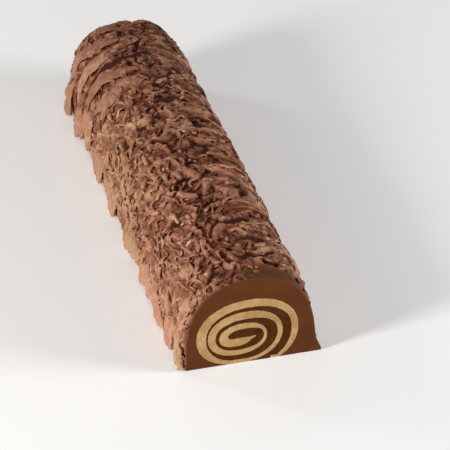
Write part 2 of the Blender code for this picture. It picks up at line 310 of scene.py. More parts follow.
# -------------- buttercream coat
# Chocolate buttercream spread round the roll down to the table, and wiped smooth by the
# knife where the ends were sliced. It holds the shavings.
COAT_CUTS = 9
COAT_SWELL = 0.00045
COAT_SWELL_DEPTH = 0.00055
COAT_SWELL_SIZE = 0.0075
BUTTERCREAM_TONES = ((0.094, 0.0272, 0.0056, 1), (0.131, 0.0395, 0.0083, 1))
DRAG_STRETCH = (60.0, 300.0, 900.0)

smooth_coat = sliced_layer("coat", "smooth_coat", COAT_CUTS, COAT_SWELL, only_inside=True)
roughen(smooth_coat, swell_texture("coat swell", COAT_SWELL_SIZE), COAT_SWELL_DEPTH, 0.6)


def buttercream_surface():
    """Milk-chocolate buttercream: even red-brown, matt, with faint drag marks of the knife."""
    made, tree, shader = plain_surface("chocolate buttercream", 0.55, 0.09)
    tone = clouded(tree, BUTTERCREAM_TONES, 70.0, 2.2)
    fill_in(tree, shader, {"Base Color": tone.outputs["Colour"]})
    place = add_node(tree, "TexCoord", {})
    drawn = add_node(tree, "Mapping", {"Vector": place.outputs["Object"], "Scale": DRAG_STRETCH})
    drag = add_node(tree, "TexNoise", {"Vector": drawn.outputs["Vector"], "Scale": 1.0, "Detail": 4.0})
    bumped(tree, shader, drag.outputs["Fac"], 0.25, 0.0004)
    return made


finish_layer(smooth_coat, buttercream_surface(), "coat")

# -------------- bed of crushed shavings
# The lowest shavings, pressed into the coat by hand until they merged into a dark, wrinkled
# crust. It is laid out flat, as a sheet, and then wrapped over the coat from foot to foot.
SKIN_ROWS = 201
SKIN_RAYS = 361
SKIN_COLUMNS = 301
RAY_START = 0.02
BARK_THICKNESS = (0.0008, 0.008)
BED_CELLS_AROUND = 200
BED_CELLS_ALONG = 440
LOWER_CELLS = 10
BED_SHARE = 0.28
BARE_BED_SHARE = 0.95
BED_SINK = 0.0004
FOLD_COLUMNS = 201
FOLD_ROWS = 401
FOLD_HEIGHT = 0.0012
FOLD_SIZE = 0.0115
KNOT_SIZE = 0.012
RIDGE_SIZE = 0.015
SWAY = 0.009
HOLLOW_COUNT = 80
TOP_HOLLOWS = 0.74
HOLLOW_DEPTH = 0.0024
GAP_WAVER = 0.0028
WRINKLE_SHARES = (0.0, 0.12, 0.3, 0.5, 0.75, 1.0)
WRINKLE_HEIGHTS = (0.0012, 0.0021, 0.0026, 0.0036, 0.0034, 0.0022)
WRINKLE_BEND = 0.006
WRINKLE_LEAN = 0.75
TO_AND_FRO = (1.25, 1.9)
SIDE_WRINKLE_SIZE = 0.0056
TOP_WRINKLE_SIZE = 0.0072
RIGHT_WRINKLE_SIZES = (0.014, 0.0084)
SMALL_WRINKLE_SIZE = 0.0052
CREST_DROP = 2.2
FLOOR_SOFTNESS = 0.0004
DENT_DEPTH = 0.0008
CRUMBLY_HEIGHT = 0.0008
SHEET_DIP = 0.014
# Pale tans of the chocolate, also used for the painted highlight on the crests.
TAN_YELLOW_AND_HIGHLIGHT = (0.525, 0.31, 0.16, 1)
TAN_PINK_AND_HIGHLIGHT = (0.57, 0.284, 0.182, 1)
# Painted shade: dark colours for the crevices, for the crevices on the pale left side, and for the
# deepest gaps.
CREVICE_SHADE = (0.086, 0.022, 0.0078, 1)
PALE_CREVICE_SHADE = (0.175, 0.056, 0.0225, 1)
DEEPEST_SHADE = (0.043, 0.0096, 0.0025, 1)
BARE_COAT = (0.12, 0.035, 0.008, 1)
# Lightness by share round the log: partly the chocolate's own tone, partly painted light, palest at
# the left foot where the key light falls.
LIT_AND_PALE_SHARES = (0.0, 0.1, 0.2, 0.42, 0.6, 0.8, 1.0)
LIT_AND_PALE_TONES = (0.92, 0.92, 0.8, 0.5, 0.47, 0.55, 0.6)
SEED = 12
rng = np.random.default_rng(SEED)


def ramp(value, start, end):
    """0 up to a start, then rising evenly to 1 at an end, whichever of the two is higher."""
    return np.clip((value - start) / (end - start), 0.0, 1.0)


def tree_of(node):
    """A search tree of the faces of one of the cake's solids."""
    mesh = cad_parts[node].data
    corners = [tuple(face.vertices) for face in mesh.polygons]
    return BVHTree.FromPolygons([point.co for point in mesh.vertices], corners)


def soften(values, reach, axis):
    """Even out values along an axis with a window of reach cells to each side."""
    window = np.hanning(2 * reach + 3)[1:-1]
    window /= window.sum()
    first = np.repeat(np.take(values, [0], axis), reach, axis)
    last = np.repeat(np.take(values, [-1], axis), reach, axis)
    padded = np.concatenate([first, values, last], axis)
    return np.apply_along_axis(lambda line: np.convolve(line, window, "valid"), axis, padded)


def read_skin():
    """The coat's outer line and the bark's thickness over it, in even steps around and along."""
    coat_tree = tree_of("coat")
    bark_tree = tree_of("bark")
    rows = np.linspace(NEAR_CUT + 0.0001, FAR_CUT - 0.0001, SKIN_ROWS)
    angles = np.linspace(math.pi, 0.0, SKIN_RAYS)
    line = np.zeros((SKIN_ROWS, SKIN_COLUMNS, 2))
    for row, y in enumerate(rows):
        hits = []
        for angle in angles:
            out = Vector((math.cos(angle), 0.0, math.sin(angle)))
            hit = coat_tree.ray_cast(Vector((0.0, y, 0.0001)) + out * 0.1, -out)[0]
            if hit is not None:
                hits.append((hit.x, hit.z))
        hits = np.array(hits)
        steps = np.concatenate([[0.0], np.cumsum(np.linalg.norm(np.diff(hits, axis=0), axis=1))])
        even = np.linspace(0.0, steps[-1], SKIN_COLUMNS)
        line[row] = np.column_stack([np.interp(even, steps, hits[:, k]) for k in (0, 1)])
    line = soften(line, 6, 1)
    line = soften(line, 2, 0)
    tangent = np.gradient(line, axis=1)
    tangent /= np.linalg.norm(tangent, axis=2)[:, :, None]
    out = np.stack([-tangent[:, :, 1], tangent[:, :, 0]], axis=2)
    deep = np.zeros((SKIN_ROWS, SKIN_COLUMNS))
    for row, y in enumerate(rows):
        for column in range(SKIN_COLUMNS):
            x, z = line[row, column] + RAY_START * out[row, column]
            way = Vector((-out[row, column, 0], 0.0, -out[row, column, 1]))
            hit = bark_tree.ray_cast(Vector((x, y, max(z, 0.0001))), way)
            deep[row, column] = RAY_START - hit[3] if hit[3] is not None else 0.0015
    deep = soften(soften(np.clip(deep, *BARK_THICKNESS), 3, 1), 1, 0)
    return rows, line, out, deep


skin_rows, skin_line, skin_out, skin_deep = read_skin()
ARCH = float(np.mean(np.linalg.norm(np.diff(skin_line, axis=1), axis=2).sum(axis=1)))


def read_grid(field, u, v):
    """Values of an even grid at shares u of its width and v of its length, each from 0 to 1."""
    u = np.clip(u, 0.0, 1.0) * (field.shape[1] - 1)
    v = np.clip(v, 0.0, 1.0) * (field.shape[0] - 1)
    column = np.minimum(u.astype(int), field.shape[1] - 2)
    row = np.minimum(v.astype(int), field.shape[0] - 2)
    extra = (slice(None),) + (None,) * (field.ndim - 2)
    u = (u - column)[extra]
    v = (v - row)[extra]
    near = field[row, column] * (1 - u) + field[row, column + 1] * u
    far = field[row + 1, column] * (1 - u) + field[row + 1, column + 1] * u
    return near * (1 - v) + far * v


def skin_at(around, along):
    """Skin point, outward way and bark thickness at places around and along the log."""
    u = around / ARCH
    v = (along - skin_rows[0]) / (skin_rows[-1] - skin_rows[0])
    return read_grid(skin_line, u, v), read_grid(skin_out, u, v), read_grid(skin_deep, u, v)


def wrap(flat):
    """Wrap flat points (around, along, height) over the coat, none of them below the table."""
    point, way, _ = skin_at(flat[:, 0], flat[:, 1])
    past = flat[:, 0] - np.clip(flat[:, 0], 0.0, ARCH)
    x = point[:, 0] + way[:, 0] * flat[:, 2]
    z = point[:, 1] + way[:, 1] * flat[:, 2] - np.abs(past)
    return np.column_stack([x, flat[:, 1], np.maximum(z, 0.0002)])


def ripple(flat, size, seed):
    """Smooth, uneven values between -1 and 1 over a flat sheet, with hills of a size."""
    shifted = np.asarray(flat)[:, :2] / size
    return np.array([noise.noise(Vector((x, y, seed))) for x, y in shifted])


def folds_and_knots():
    """The crust's large relief on an even flat grid: folds down the left, knots on top, and
    ridges across the right."""
    around = np.linspace(0.0, ARCH, FOLD_COLUMNS)
    along = np.linspace(NEAR_CUT, FAR_CUT, FOLD_ROWS)
    flat = np.stack(np.meshgrid(around, along), axis=-1).reshape(-1, 2)
    sway = np.column_stack([ripple(flat, 0.03, 1.5), ripple(flat, 0.026, 2.5)]) * SWAY
    share = flat[:, 0] / ARCH
    left = ramp(share, 0.42, 0.3)
    right = ramp(share, 0.5, 0.62)
    folds = 2.4 * np.abs(ripple((flat + sway) * np.array([0.35, 1.0]), FOLD_SIZE, 3.5)) - 0.6
    knots = 2.4 * np.abs(ripple(flat + sway, KNOT_SIZE, 7.5)) - 0.6
    drawn = (flat + 0.6 * sway) * np.array([0.22, 1.0])
    ridges = 1.0 - 2.8 * np.abs(ripple(drawn, RIDGE_SIZE, 5.5))
    relief = left * folds + 0.6 * right * ridges + (1.0 - left - right) * knots
    return relief.reshape(FOLD_ROWS, FOLD_COLUMNS)


fold_field = folds_and_knots()


def relief_at(around, along):
    """The crust's large relief at places around and along the log."""
    return read_grid(fold_field, around / ARCH, (along - NEAR_CUT) / (FAR_CUT - NEAR_CUT))


def bare_share(around, along):
    """1 on the bare strip of coat behind the near cut, at the upper right, and 0 elsewhere."""
    return ramp(around / ARCH, 0.42, 0.52) * ramp(along - NEAR_CUT, 0.015, 0.009)


# Share round the log, place along it, half length around, half length along, and turn.
DEEP_GAPS = (
    (0.17, 0.131, 0.028, 0.0024, 0.0), (0.36, 0.111, 0.033, 0.0026, 0.04),
    (0.235, 0.066, 0.0065, 0.0028, 0.2), (0.12, 0.088, 0.016, 0.0018, 0.1),
    (0.285, 0.022, 0.0022, 0.006, 0.0), (0.375, 0.024, 0.0025, 0.004, 0.3),
    (0.43, 0.0, 0.003, 0.005, 0.2), (0.475, -0.012, 0.005, 0.0028, 0.1),
    (0.4, -0.052, 0.0016, 0.007, 0.2), (0.43, -0.046, 0.006, 0.0015, 0.2),
    (0.52, 0.05, 0.01, 0.003, 0.05), (0.53, -0.042, 0.005, 0.0026, 0.3),
    (0.53, -0.098, 0.007, 0.0026, 0.1), (0.53, -0.137, 0.0055, 0.0026, -0.1),
    (0.62, -0.063, 0.0024, 0.009, -0.3), (0.14, -0.127, 0.013, 0.0018, 0.25),
    (0.35, -0.085, 0.0019, 0.0052, 0.6), (0.22, -0.075, 0.0024, 0.005, 0.3),
    (0.56, -0.01, 0.009, 0.0026, 0.0), (0.6, 0.024, 0.008, 0.0024, 0.1),
    (0.58, -0.118, 0.0085, 0.0026, 0.0), (0.64, 0.082, 0.009, 0.0026, 0.0),
)


def hollow_places(count):
    """Gaps between the shavings: the deep ones, and many small ones, most on top and to the right.
    Each has its centre, its half sizes and its turn."""
    on_top = rng.uniform(0, 1, count) < TOP_HOLLOWS
    share = np.where(on_top, rng.normal(0.52, 0.11, count), rng.uniform(0.03, 0.97, count))
    along = rng.uniform(NEAR_CUT + 0.012, FAR_CUT - 0.004, count)
    on_side = ramp(np.abs(share - 0.5), 0.12, 0.24)
    long = rng.uniform(0.0024, 0.005, count) * (1.0 + 0.4 * on_side)
    wide = rng.uniform(0.0013, 0.0024, count) * (1.0 - 0.6 * on_side)
    small = np.column_stack([share * ARCH, along, long, wide, rng.normal(0.0, 0.5, count)])
    return np.concatenate([np.array(DEEP_GAPS) * (ARCH, 1.0, 1.0, 1.0, 1.0), small])


hollows = hollow_places(HOLLOW_COUNT)


def hollow_depth(around, along):
    """How deep in a gap a place lies, from 0 to 1."""
    deepest = np.zeros(len(around))
    flat = np.column_stack([around, along])
    around = around + GAP_WAVER * ripple(flat, 0.006, 41.5)
    along = along + GAP_WAVER * ripple(flat, 0.006, 43.5)
    for middle_around, middle_along, long, wide, turned in hollows:
        a, b = around - middle_around, along - middle_along
        reach = 1.3 * max(long, wide) + 0.001
        near = np.nonzero((np.abs(a) < reach) & (np.abs(b) < reach))[0]
        x = (a[near] * math.cos(turned) + b[near] * math.sin(turned)) / long
        y = (b[near] * math.cos(turned) - a[near] * math.sin(turned)) / wide
        deepest[near] = np.maximum(deepest[near], np.exp(-(x * x + y * y) ** 3.0))
    return deepest


def crust_height(around, along):
    """Height of the crust without its finer wrinkles."""
    deep = skin_at(around, along)[2]
    bare = bare_share(around, along)
    near = 0.35 + 0.65 * ramp(along - NEAR_CUT, 0.0, 0.005)
    relief = FOLD_HEIGHT * relief_at(around, along) * near * (1.0 - 0.95 * bare)
    return np.maximum((BED_SHARE + (BARE_BED_SHARE - BED_SHARE) * bare) * deep + relief, 0.0001)


def crest_lines(flat, size, seed, width):
    """Winding edges on a flat sheet: a slow rise to 1 at each, then a steep drop to its trough."""
    off = ripple(flat, size, seed) / width
    off = np.minimum(np.where(off > 0.0, CREST_DROP * off, -off), 1.0)
    return 0.5 + 0.5 * np.cos(math.pi * off)


def drawn_out(flat, angle, draw):
    """Flat places turned and squeezed one way, so that what is laid on them is drawn out."""
    return np.column_stack([
        (flat[:, 0] * math.cos(angle) + flat[:, 1] * math.sin(angle)) / draw,
        flat[:, 1] * math.cos(angle) - flat[:, 0] * math.sin(angle)])


def wrinkles(flat):
    """How high the squeezed-up crests stand, 0 to 1: to and fro along the left, winding lengthways
    on top, and across the log on the right."""
    share = flat[:, 0] / ARCH
    left = ramp(share, 0.4, 0.28)
    right = ramp(share, 0.48, 0.56)
    low_right = ramp(share, 0.74, 0.84)
    bends = np.column_stack([ripple(flat, 0.016, 1.5), ripple(flat, 0.015, 4.5)])
    bent = flat[:, :2] + bends * WRINKLE_BEND
    slightly_bent = 0.5 * (bent + flat[:, :2])
    to = crest_lines(drawn_out(slightly_bent, TO_AND_FRO[0], 2.2), SIDE_WRINKLE_SIZE, 21.5, 0.36)
    fro = crest_lines(drawn_out(slightly_bent, TO_AND_FRO[1], 2.2), SIDE_WRINKLE_SIZE, 27.5, 0.36)
    way = np.clip(0.5 + 3.5 * ripple(flat, 0.024, 8.5), 0.0, 1.0)
    winding = crest_lines(drawn_out(bent, 1.57, 1.6), TOP_WRINKLE_SIZE, 9.5, 0.36)
    stretched = drawn_out(bent, 0.0, 2.4)
    across = np.maximum(
        crest_lines(stretched, RIGHT_WRINKLE_SIZES[0], 17.5, 0.26),
        0.6 * crest_lines(stretched, RIGHT_WRINKLE_SIZES[1], 33.5, 0.28))
    small = crest_lines(bent, SMALL_WRINKLE_SIZE, 13.5, 0.28)
    main = left * (way * to + (1.0 - way) * fro) + right * across + (1.0 - left - right) * winding
    return np.maximum(main, (0.65 - 0.22 * right + 0.3 * low_right) * small)


def drape(flat, share):
    """Let a sheet sink onto the crust with a share of its wrinkles, each crest leaning to the near
    end. The wrinkles are calmer under the ribbons at the far left."""
    around = flat[:, 0]
    along = flat[:, 1]
    gap = hollow_depth(around, along)
    raised = wrinkles(flat) * (1.0 - 0.95 * bare_share(around, along)) * (1.0 - gap)
    free = ramp(np.minimum(along - NEAR_CUT, FAR_CUT - along), 0.0, 0.004)
    height = np.interp(around / ARCH, WRINKLE_SHARES, WRINKLE_HEIGHTS)
    height *= 1.0 - 0.55 * ramp(around / ARCH, 0.42, 0.34) * ramp(along, 0.065, 0.08)
    height *= 1.0 - 0.35 * ramp(along, 0.135, 0.155)
    draped = flat.copy()
    draped[:, 2] += crust_height(around, along) + share * height * (raised - 0.3)
    draped[:, 2] -= SHEET_DIP * gap * (1.0 - share)
    draped[:, 1] -= share * WRINKLE_LEAN * height * raised ** 2 * free
    return draped, raised


def bed_height(flat):
    """Places of the crust with all its wrinkles, and how far each stands out of them, 0 to 1."""
    cover = 1.0 - 0.95 * bare_share(flat[:, 0], flat[:, 1])
    gap = hollow_depth(flat[:, 0], flat[:, 1])
    draped, raised = drape(flat, 1.0)
    dents = ripple(flat, 0.0036, 6.5) * cover
    draped[:, 2] += DENT_DEPTH * dents - HOLLOW_DEPTH * gap
    draped[:, 2] = FLOOR_SOFTNESS * np.logaddexp(0.0, draped[:, 2] / FLOOR_SOFTNESS)
    crumbly = crest_lines(flat, 0.004, 37.5, 0.34) * cover * (1.0 - gap)
    draped[:, 2] += 0.0002 + CRUMBLY_HEIGHT * crumbly * (1.0 - 0.6 * raised)
    # The crest value drives the painted shade in crevices and gaps and the painted highlight on
    # crests.
    crest = 0.2 + 0.72 * raised + 0.34 * dents + 0.22 * crumbly - 1.1 * gap
    crest = np.clip(crest + 0.2 * relief_at(flat[:, 0], flat[:, 1]), -1.0, 1.0)
    return draped, crest


def tone_and_shade_at(around, along, spread):
    """How pale the chocolate is drawn, 0 to 1, with random differences from piece to piece by a
    spread.
    By place it is partly its own tone and partly painted light and shade: palest at the left foot
    where the key light falls, paler at the near right, darkest on top, and darker toward the far end."""
    share = around / ARCH
    pale = np.interp(share, LIT_AND_PALE_SHARES, LIT_AND_PALE_TONES)
    on_top = ramp(np.abs(share - 0.46), 0.224, 0.084)
    # Painted shade: darker toward the far end, most of all on top.
    pale = pale - (3.8 + 2.6 * on_top) * np.maximum(along - 0.03, 0.0)
    pale = pale + 0.22 * ramp(along, -0.085, -0.125) * ramp(share, 0.52, 0.62)
    return np.clip(pale + rng.normal(0.0, spread, len(around)), 0.0, 1.0)


# Share round the log, place along it, reach around, reach along, and how much redder (or yellower).
BLUSHES = (
    (0.22, 0.02, 0.03, 0.06, -0.42), (0.1, -0.1, 0.022, 0.04, 0.55),
    (0.4, -0.105, 0.016, 0.045, 0.6), (0.4, 0.08, 0.018, 0.03, 0.45),
    (0.45, 0.145, 0.024, 0.022, 0.6), (0.58, 0.105, 0.018, 0.045, -0.6),
    (0.58, -0.12, 0.014, 0.025, -0.5), (0.48, 0.02, 0.016, 0.03, 0.35),
    (0.15, 0.12, 0.022, 0.03, -0.2), (0.7, -0.04, 0.024, 0.05, 0.2),
)


def blush_at(around, along):
    """How red the chocolate is against how yellow, 0 to 1, in broad patches over the log."""
    blush = np.full(len(around), 0.45)
    for share, middle, reach_around, reach_along, redder in BLUSHES:
        off = ((around - share * ARCH) / reach_around) ** 2 + ((along - middle) / reach_along) ** 2
        blush += redder * np.exp(-off)
    return np.clip(blush, 0.0, 1.0)


def mark(mesh, name, values):
    """Keep one value for each point of a mesh, for its material."""
    mesh.attributes.new(name, "FLOAT", "POINT").data.foreach_set("value", values)


def points_of(mesh):
    """The points of a mesh, as rows of x, y and z."""
    points = np.zeros(len(mesh.vertices) * 3)
    mesh.vertices.foreach_get("co", points)
    return points.reshape(-1, 3)


def flat_grid(cells_across, cells_along, height=0.0):
    """A new flat grid, one unit square."""
    bpy.ops.object.select_all(action="DESELECT")
    bpy.ops.mesh.primitive_grid_add(
        x_subdivisions=cells_across, y_subdivisions=cells_along, size=1.0, location=(0, 0, height))
    return bpy.context.object


def make_bed():
    """Build the crust: a fine upper sheet and a coarse lower one, joined round their edges."""
    bed = flat_grid(BED_CELLS_AROUND, BED_CELLS_ALONG, height=1.0)
    lower = flat_grid(BED_CELLS_AROUND // LOWER_CELLS, BED_CELLS_ALONG // LOWER_CELLS)
    work_on(lower, "EDIT")
    bpy.ops.mesh.select_mode(type="EDGE")
    bpy.ops.mesh.select_all(action="SELECT")
    bpy.ops.mesh.region_to_loop()
    bpy.ops.mesh.subdivide(number_cuts=LOWER_CELLS - 1)
    bpy.ops.mesh.select_all(action="SELECT")
    bpy.ops.mesh.flip_normals()
    work_on(bed)
    lower.select_set(True)
    bpy.ops.object.join()
    bed.name = "crushed_bed"
    bpy.ops.object.transform_apply(location=True, rotation=True, scale=True)
    work_on(bed, "EDIT")
    bpy.ops.mesh.select_mode(type="EDGE")
    bpy.ops.mesh.select_all(action="DESELECT")
    bpy.ops.mesh.select_non_manifold()
    bpy.ops.mesh.bridge_edge_loops()
    bpy.ops.mesh.select_all(action="DESELECT")
    work_on(bed)
    points = points_of(bed.data)
    flat = np.column_stack([
        (points[:, 0] + 0.5) * ARCH,
        NEAR_CUT + (points[:, 1] + 0.5) * (FAR_CUT - NEAR_CUT),
        np.full(len(points), -BED_SINK),
    ])
    top = points[:, 2] > 0.5
    crest = np.zeros(len(points))
    flat[top, 2] = 0.0
    flat[top], crest[top] = bed_height(flat[top])
    bed.data.vertices.foreach_set("co", wrap(flat).ravel())
    mark(bed.data, "crest", crest)
    mark(bed.data, "tone", tone_and_shade_at(flat[:, 0], flat[:, 1], 0.0))
    mark(bed.data, "blush", blush_at(flat[:, 0], flat[:, 1]))
    mark(bed.data, "bare", bare_share(flat[:, 0], flat[:, 1]))
    bed.data.update()
    work_on(bed, "EDIT")
    bpy.ops.mesh.select_all(action="SELECT")
    bpy.ops.mesh.normals_make_consistent(inside=False)
    work_on(bed)
    bpy.ops.object.shade_smooth_by_angle(angle=math.radians(60.0))
    return bed


def read_mark(tree, name):
    """The value kept for each point of a mesh, in a material."""
    return add_node(tree, "Attribute", {}, attribute_name=name).outputs["Fac"]


def times(tree, first, second):
    """A value times another value or a share."""
    return add_node(tree, "Math", {0: first, 1: second}, operation="MULTIPLY").outputs[0]


def cloud_mask(tree, scale, contrast):
    """A clouded value from 0 to 1, without its colours."""
    values = {"Scale": scale, "Contrast": contrast}
    return add_node(tree, "Group", values, node_tree=CLOUDED_TONE).outputs["Cloud"]


def chocolate_surface(name, red, dark, roughness, shine):
    """Shaved milk chocolate: satin, tan in its pale parts, redder in patches, with a painted highlight
    of pale tan on the crests and painted shade, dark, down in the crevices and gaps."""
    made, tree, shader = plain_surface(name, roughness, shine)
    tone = read_mark(tree, "tone")
    blush = read_mark(tree, "blush")
    crest = read_mark(tree, "crest")
    tan = clouded(tree, (TAN_YELLOW_AND_HIGHLIGHT, TAN_PINK_AND_HIGHLIGHT), 26.0, 4.0).outputs["Colour"]
    tan = blend_colours(tree, remapped(tree, blush, 0.45, 0.0), tan, TAN_YELLOW_AND_HIGHLIGHT)
    tan = blend_colours(tree, remapped(tree, blush, 0.45, 1.1), tan, TAN_PINK_AND_HIGHLIGHT)
    mottle = times(tree, cloud_mask(tree, 170.0, 3.0), 0.45)
    tan = blend_colours(tree, mottle, tan, red)
    colour = blend_colours(tree, remapped(tree, tone, 0.0, 0.5), dark, red)
    colour = blend_colours(tree, remapped(tree, tone, 0.5, 1.0), colour, tan)
    patches = times(tree, cloud_mask(tree, 34.0, 5.0), remapped(tree, blush, -0.25, 1.1))
    colour = blend_colours(tree, patches, colour, red)
    bloom = times(tree, cloud_mask(tree, 260.0, 3.0), 0.3)
    colour = blend_colours(tree, bloom, colour, tan)
    specks = times(tree, cloud_mask(tree, 420.0, 3.0), 0.45)
    colour = blend_colours(tree, specks, colour, dark)
    # Painted shade: crevices and gaps darken as their crest value falls.
    crevice_shade = blend_colours(tree, remapped(tree, tone, 0.45, 0.95), CREVICE_SHADE, PALE_CREVICE_SHADE)
    colour = blend_colours(tree, remapped(tree, crest, 0.02, 0.68), crevice_shade, colour)
    colour = blend_colours(tree, remapped(tree, crest, -0.7, 0.0), DEEPEST_SHADE, colour)
    # Painted highlight: pale tan on the highest crests.
    crest_highlight = times(tree, remapped(tree, crest, 0.6, 1.0), remapped(tree, tone, -0.2, 1.0))
    colour = blend_colours(tree, crest_highlight, colour, tan)
    dull = remapped(tree, crest, 0.15, 0.6, 1.0, roughness)
    fill_in(tree, shader, {"Base Color": colour, "Roughness": dull})
    place = add_node(tree, "TexCoord", {})
    grain = add_node(tree, "TexNoise", {
        "Vector": place.outputs["Object"], "Scale": 420.0, "Detail": 4.0, "Roughness": 0.6})
    bumped(tree, shader, grain.outputs["Fac"], 0.5, 0.0009)
    return made


def show_coat(material, colour):
    """Let the buttercream's colour take over where the crust was left bare."""
    tree = material.node_tree
    shader = tree.nodes["Principled BSDF"]
    crust = shader.inputs["Base Color"].links[0].from_socket
    fill_in(tree, shader, {"Base Color": blend_colours(tree, read_mark(tree, "bare"), crust, colour)})


crushed_bed = make_bed()
CRUST = chocolate_surface(
    "crushed chocolate", (0.267, 0.075, 0.0285, 1), (0.11, 0.029, 0.011, 1), 0.33, 0.34)
show_coat(CRUST, BARE_COAT)
finish_layer(crushed_bed, CRUST, "bark")

# -------------- long side ribbons
# Broad ribbons shaved from a block with a long blade. They hang from the top down the left
# side of the log, each lying over the edge of the one before it.
TRIM_RAGGED = 0.0005
FULL_CREST = 0.0026
PRESS_SHARES = (0.0, 0.5, 0.72, 1.0)
PRESS_FREE = (0.0026, 0.0012, 0.0005, 0.0005)
PRESS_GIVE = 0.5
DENT_SIZES = (0.0058, 0.0026)
GOLDEN_SHARE = 0.6180339887


def shaving_blank(steps_along, steps_across, thick, form):
    """One shaving at its true size: a sheet shaped by a form, and given its thickness."""
    blank = flat_grid(steps_along, steps_across)
    points = points_of(blank.data)
    points = form(2.0 * points[:, 0], 2.0 * points[:, 1])
    blank.data.vertices.foreach_set("co", points.ravel())
    bpy.ops.object.modifier_add(type="SOLIDIFY")
    blank.modifiers[-1].thickness = thick
    blank.modifiers[-1].offset = 0.0
    bpy.ops.object.modifier_apply(modifier=blank.modifiers[-1].name)
    points = points_of(blank.data)
    corners = [tuple(face.vertices) for face in blank.data.polygons]
    bpy.data.objects.remove(blank, do_unlink=True)
    return points, corners


def ribbon_form(seed, length, width, crown, dent):
    """A long ribbon: arched across, one long edge lifted, with swaying sides and torn ends."""
    own = np.random.default_rng(seed)
    a, b, c, d = own.uniform(0.0, 6.28, 4)
    slant = own.uniform(-0.25, 0.25)

    def form(u, v):
        torn = 0.1 * np.sin(5.0 * v + a) + slant * v
        x = 0.5 * length * (u + torn * np.abs(u) ** 3)
        narrow = 1.0 - 0.4 * np.abs(u) ** 4 + 0.12 * np.sin(3.2 * u + b)
        y = 0.5 * width * v * narrow + 0.2 * width * np.sin(2.3 * u + c)
        flat = np.column_stack([x, y])
        dents = ripple(flat, DENT_SIZES[0], seed + 0.5)
        dents += 0.35 * ripple(flat, DENT_SIZES[1], seed + 0.7)
        z = crown * (1.0 - v * v) + 0.5 * crown * np.sin(3.6 * u + d) + dent * dents
        return np.column_stack([x, y, z])

    return form


def trimmed(flat):
    """Places along the log, with what stood past a cut trimmed off by the knife, a bit ragged."""
    ragged = TRIM_RAGGED * (0.6 + np.sin(900.0 * flat[:, 0]) * np.sin(370.0 * flat[:, 0] + 1.0))
    return np.clip(flat[:, 1], NEAR_CUT - ragged, FAR_CUT + ragged)


def pressed(flat):
    """Heights with what stood far out of the bark pressed back toward it."""
    free = np.interp(flat[:, 0] / ARCH, PRESS_SHARES, PRESS_FREE)
    most = skin_at(flat[:, 0], flat[:, 1])[2] + free
    return np.where(flat[:, 2] > most, most + PRESS_GIVE * (flat[:, 2] - most), flat[:, 2])


def strew(name, blanks, places, scale, turned, tipped, rolled, lift, spread=0.22, follows=0.0):
    """Join many copies of a few blanks into one piece, each at its place on the flat sheet. The
    piece follows a share of the crust's wrinkles, and is wrapped over the log."""
    around, along = places
    kinds = rng.integers(0, len(blanks), len(around))
    tones = tone_and_shade_at(around, along, spread)
    all_points = []
    all_faces = []
    all_tones = []
    start = 0
    for index, kind in enumerate(kinds):
        points, faces = blanks[kind]
        turn = Euler((rolled[index], tipped[index], turned[index]), "XYZ").to_matrix()
        local = (points * scale[index]) @ np.array(turn).T
        local += (around[index], along[index], lift[index])
        all_points.append(local)
        all_faces += [tuple(corner + start for corner in face) for face in faces]
        all_tones.append(np.full(len(local), tones[index]))
        start += len(local)
    flat = np.concatenate(all_points)
    # By height, the low parts of each piece get painted shade and the high parts a painted highlight.
    crest = 0.15 + flat[:, 2] / FULL_CREST
    if follows:
        flat, raised = drape(flat, follows)
        crest += 0.9 * follows * raised - 0.1
    else:
        flat[:, 2] += np.repeat(crust_height(around, along), [len(blanks[k][0]) for k in kinds])
    crest = np.clip(crest, 0.0, 1.0)
    flat[:, 1] = trimmed(flat)
    flat[:, 2] = pressed(flat)
    mesh = bpy.data.meshes.new(name)
    mesh.from_pydata(wrap(flat).tolist(), [], all_faces)
    mark(mesh, "tone", np.concatenate(all_tones))
    mark(mesh, "crest", crest)
    mark(mesh, "blush", blush_at(flat[:, 0], flat[:, 1]))
    mesh.shade_smooth()
    piece = bpy.data.objects.new(name, mesh)
    bpy.context.scene.collection.objects.link(piece)
    return piece


def scattered(count, share_range, along_range=(NEAR_CUT, FAR_CUT)):
    """Even but random places on the flat sheet, none over a gap or on the bare strip."""
    order = np.arange(count)
    first = (order + 0.5) / count
    second = (order * GOLDEN_SHARE) % 1.0
    across = share_range[0] + (share_range[1] - share_range[0]) * second
    along = along_range[0] + (along_range[1] - along_range[0]) * first
    across = across + rng.normal(0.0, 0.02, count)
    along = along + rng.normal(0.0, 0.003, count)
    keep = ~((across > 0.44) & (along < NEAR_CUT + 0.012 + 0.004 * rng.uniform(0, 1, count)))
    around = np.clip(across, 0.0, 1.0) * ARCH
    along = np.clip(along, NEAR_CUT + 0.001, FAR_CUT - 0.001)
    keep &= hollow_depth(around, along) < 0.25
    return around[keep], along[keep]


def in_row(count, share, along_range):
    """Places in a row along the log, nearly evenly spaced."""
    along = np.linspace(along_range[0], along_range[1], count) + rng.normal(0.0, 0.001, count)
    return (share + rng.normal(0.0, 0.02, count)) * ARCH, along


def join_places(*groups):
    """Put several groups of places together."""
    return tuple(np.concatenate(values) for values in zip(*groups))


SHAVED = chocolate_surface(
    "shaved chocolate", (0.267, 0.074, 0.028, 1), (0.105, 0.027, 0.01, 1), 0.3, 0.36)

